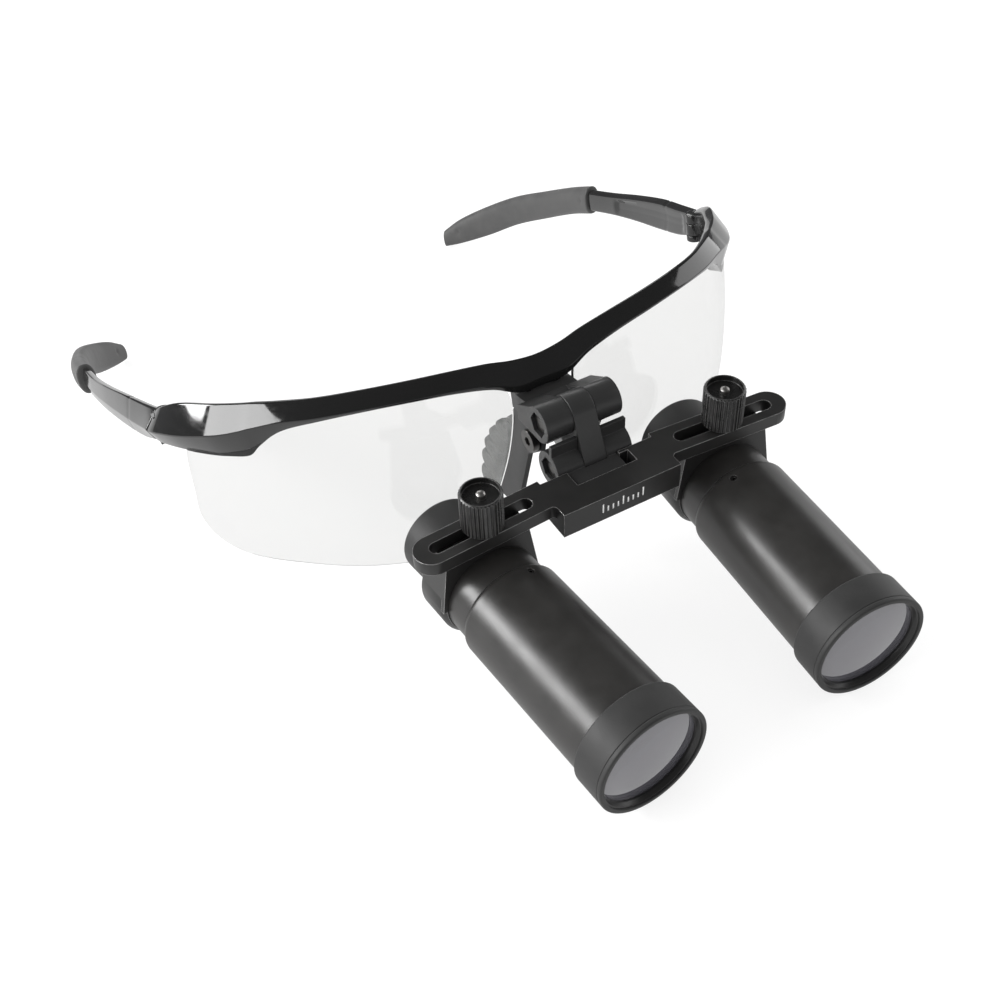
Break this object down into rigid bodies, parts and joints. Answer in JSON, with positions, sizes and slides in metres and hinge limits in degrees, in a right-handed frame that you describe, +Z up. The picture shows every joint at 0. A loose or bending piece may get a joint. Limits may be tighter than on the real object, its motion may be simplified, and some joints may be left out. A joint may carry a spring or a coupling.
{
  "type": "dental loupes",
  "caption": "flip-up binocular magnifying loupes on a half-rim spectacle frame with folding temples, sliding telescopes, knurled clamp knobs and a two-axis hinge",
  "frame": {"origin": "point of the table plane under the middle of the whole, with the loupes standing on their two objective caps and the tips of the temples", "axes": "+X is the wearer's left, +Y points from the telescopes back along the temples towards the wearer's ears, +Z is up; the loupes are mirror-symmetric about the plane X = 0 but for the hinge fasteners"},
  "size_m": [0.1682, 0.2672, 0.0607],
  "materials": {
    "frame_black": "moulded nylon, gloss",
    "clear_lens": "clear polycarbonate, hard coated",
    "pad_rubber": "translucent grey silicone",
    "sock_rubber": "matt dark grey elastomer with moulded dimples",
    "mechanism_black": "satin moulded black plastic",
    "steel": "turned stainless steel",
    "screw_black": "blackened steel",
    "bar_black": "satin black anodised, edges worn bright",
    "knob_black": "knurled, black",
    "stud_brass": "plain turned",
    "tube_black": "satin black anodised",
    "ring_black": "black anodised",
    "cap_rubber": "matt dark grey, moulded",
    "cup_rubber": "matt dark grey, moulded",
    "coated_glass": "optical glass, violet-grey coating",
    "prism_glass": "optical glass, ground flats"
  },
  "bodies": {
    "spectacles": {"front_frame": "frame_black", "spectacle_lens_left": "clear_lens", "spectacle_lens_right": "clear_lens", "nose_pad_left": "pad_rubber", "nose_pad_right": "pad_rubber", "nose_pad_carrier": "mechanism_black", "carrier_bolt": "screw_black", "carrier_nut": "screw_black", "flip_bracket": "mechanism_black", "bracket_screws": "screw_black", "flip_bolt": "screw_black", "flip_nut": "screw_black", "temple_pins": "steel"},
    "left_temple": {"temple_left": "frame_black", "ear_sock_left": "sock_rubber"},
    "right_temple": {"temple_right": "frame_black", "ear_sock_right": "sock_rubber"},
    "link": {"flip_link": "mechanism_black"},
    "crossbar": {"crossbar": "bar_black", "bar_bracket": "mechanism_black", "tilt_bolt": "screw_black", "tilt_nut": "screw_black", "bar_screws": "screw_black"},
    "left_barrel": {"neck_left": "tube_black", "main_tube_left": "tube_black", "tube_set_screw_left": "screw_black", "objective_cap_left": "cap_rubber", "retaining_ring_left": "ring_black", "objective_lens_left": "coated_glass", "field_stop_left": "ring_black", "prism_cell_left": "ring_black", "roof_prism_left": "prism_glass", "eyepiece_body_left": "tube_black", "eyepiece_lens_left": "coated_glass", "eyepiece_ring_left": "ring_black", "eyecup_left": "cup_rubber", "barrel_holder_left": "bar_black", "clamp_stud_left": "stud_brass"},
    "right_barrel": {"neck_right": "tube_black", "main_tube_right": "tube_black", "tube_set_screw_right": "screw_black", "objective_cap_right": "cap_rubber", "retaining_ring_right": "ring_black", "objective_lens_right": "coated_glass", "field_stop_right": "ring_black", "prism_cell_right": "ring_black", "roof_prism_right": "prism_glass", "eyepiece_body_right": "tube_black", "eyepiece_lens_right": "coated_glass", "eyepiece_ring_right": "ring_black", "eyecup_right": "cup_rubber", "barrel_holder_right": "bar_black", "clamp_stud_right": "stud_brass"},
    "left_knob": {"thumb_knob_left": "knob_black"},
    "right_knob": {"thumb_knob_right": "knob_black"}
  },
  "joints": [
    {"name": "flip_hinge", "type": "hinge", "parent": "spectacles", "child": "link", "pos_m": [0, -0.06777, 0.04913], "axis": [-1, 0, 0], "range_deg": [-3, 95]},
    {"name": "tilt_hinge", "type": "hinge", "parent": "link", "child": "crossbar", "pos_m": [0, -0.07017, 0.03907], "axis": [-1, 0, 0], "range_deg": [-3, 10]},
    {"name": "left_temple_fold", "type": "hinge", "parent": "spectacles", "child": "left_temple", "pos_m": [0.0741, -0.0079, 0.05195], "axis": [0, 0, 1], "range_deg": [0, 90]},
    {"name": "right_temple_fold", "type": "hinge", "parent": "spectacles", "child": "right_temple", "pos_m": [-0.0741, -0.0079, 0.05195], "axis": [0, 0, -1], "range_deg": [0, 80]},
    {"name": "left_pupil_slide", "type": "slide", "parent": "crossbar", "child": "left_barrel", "axis": [0.998, -0.0613, -0.0121], "range_m": [-0.004, 0.011]},
    {"name": "right_pupil_slide", "type": "slide", "parent": "crossbar", "child": "right_barrel", "axis": [-0.998, -0.0613, -0.0121], "range_m": [-0.004, 0.011]},
    {"name": "left_knob_turn", "type": "hinge", "parent": "left_barrel", "child": "left_knob", "pos_m": [0.03, -0.0785, 0.03895], "axis": [0, -0.1942, 0.981], "continuous": true},
    {"name": "right_knob_turn", "type": "hinge", "parent": "right_barrel", "child": "right_knob", "pos_m": [-0.03, -0.0785, 0.03895], "axis": [0, -0.1942, 0.981], "continuous": true}
  ]
}
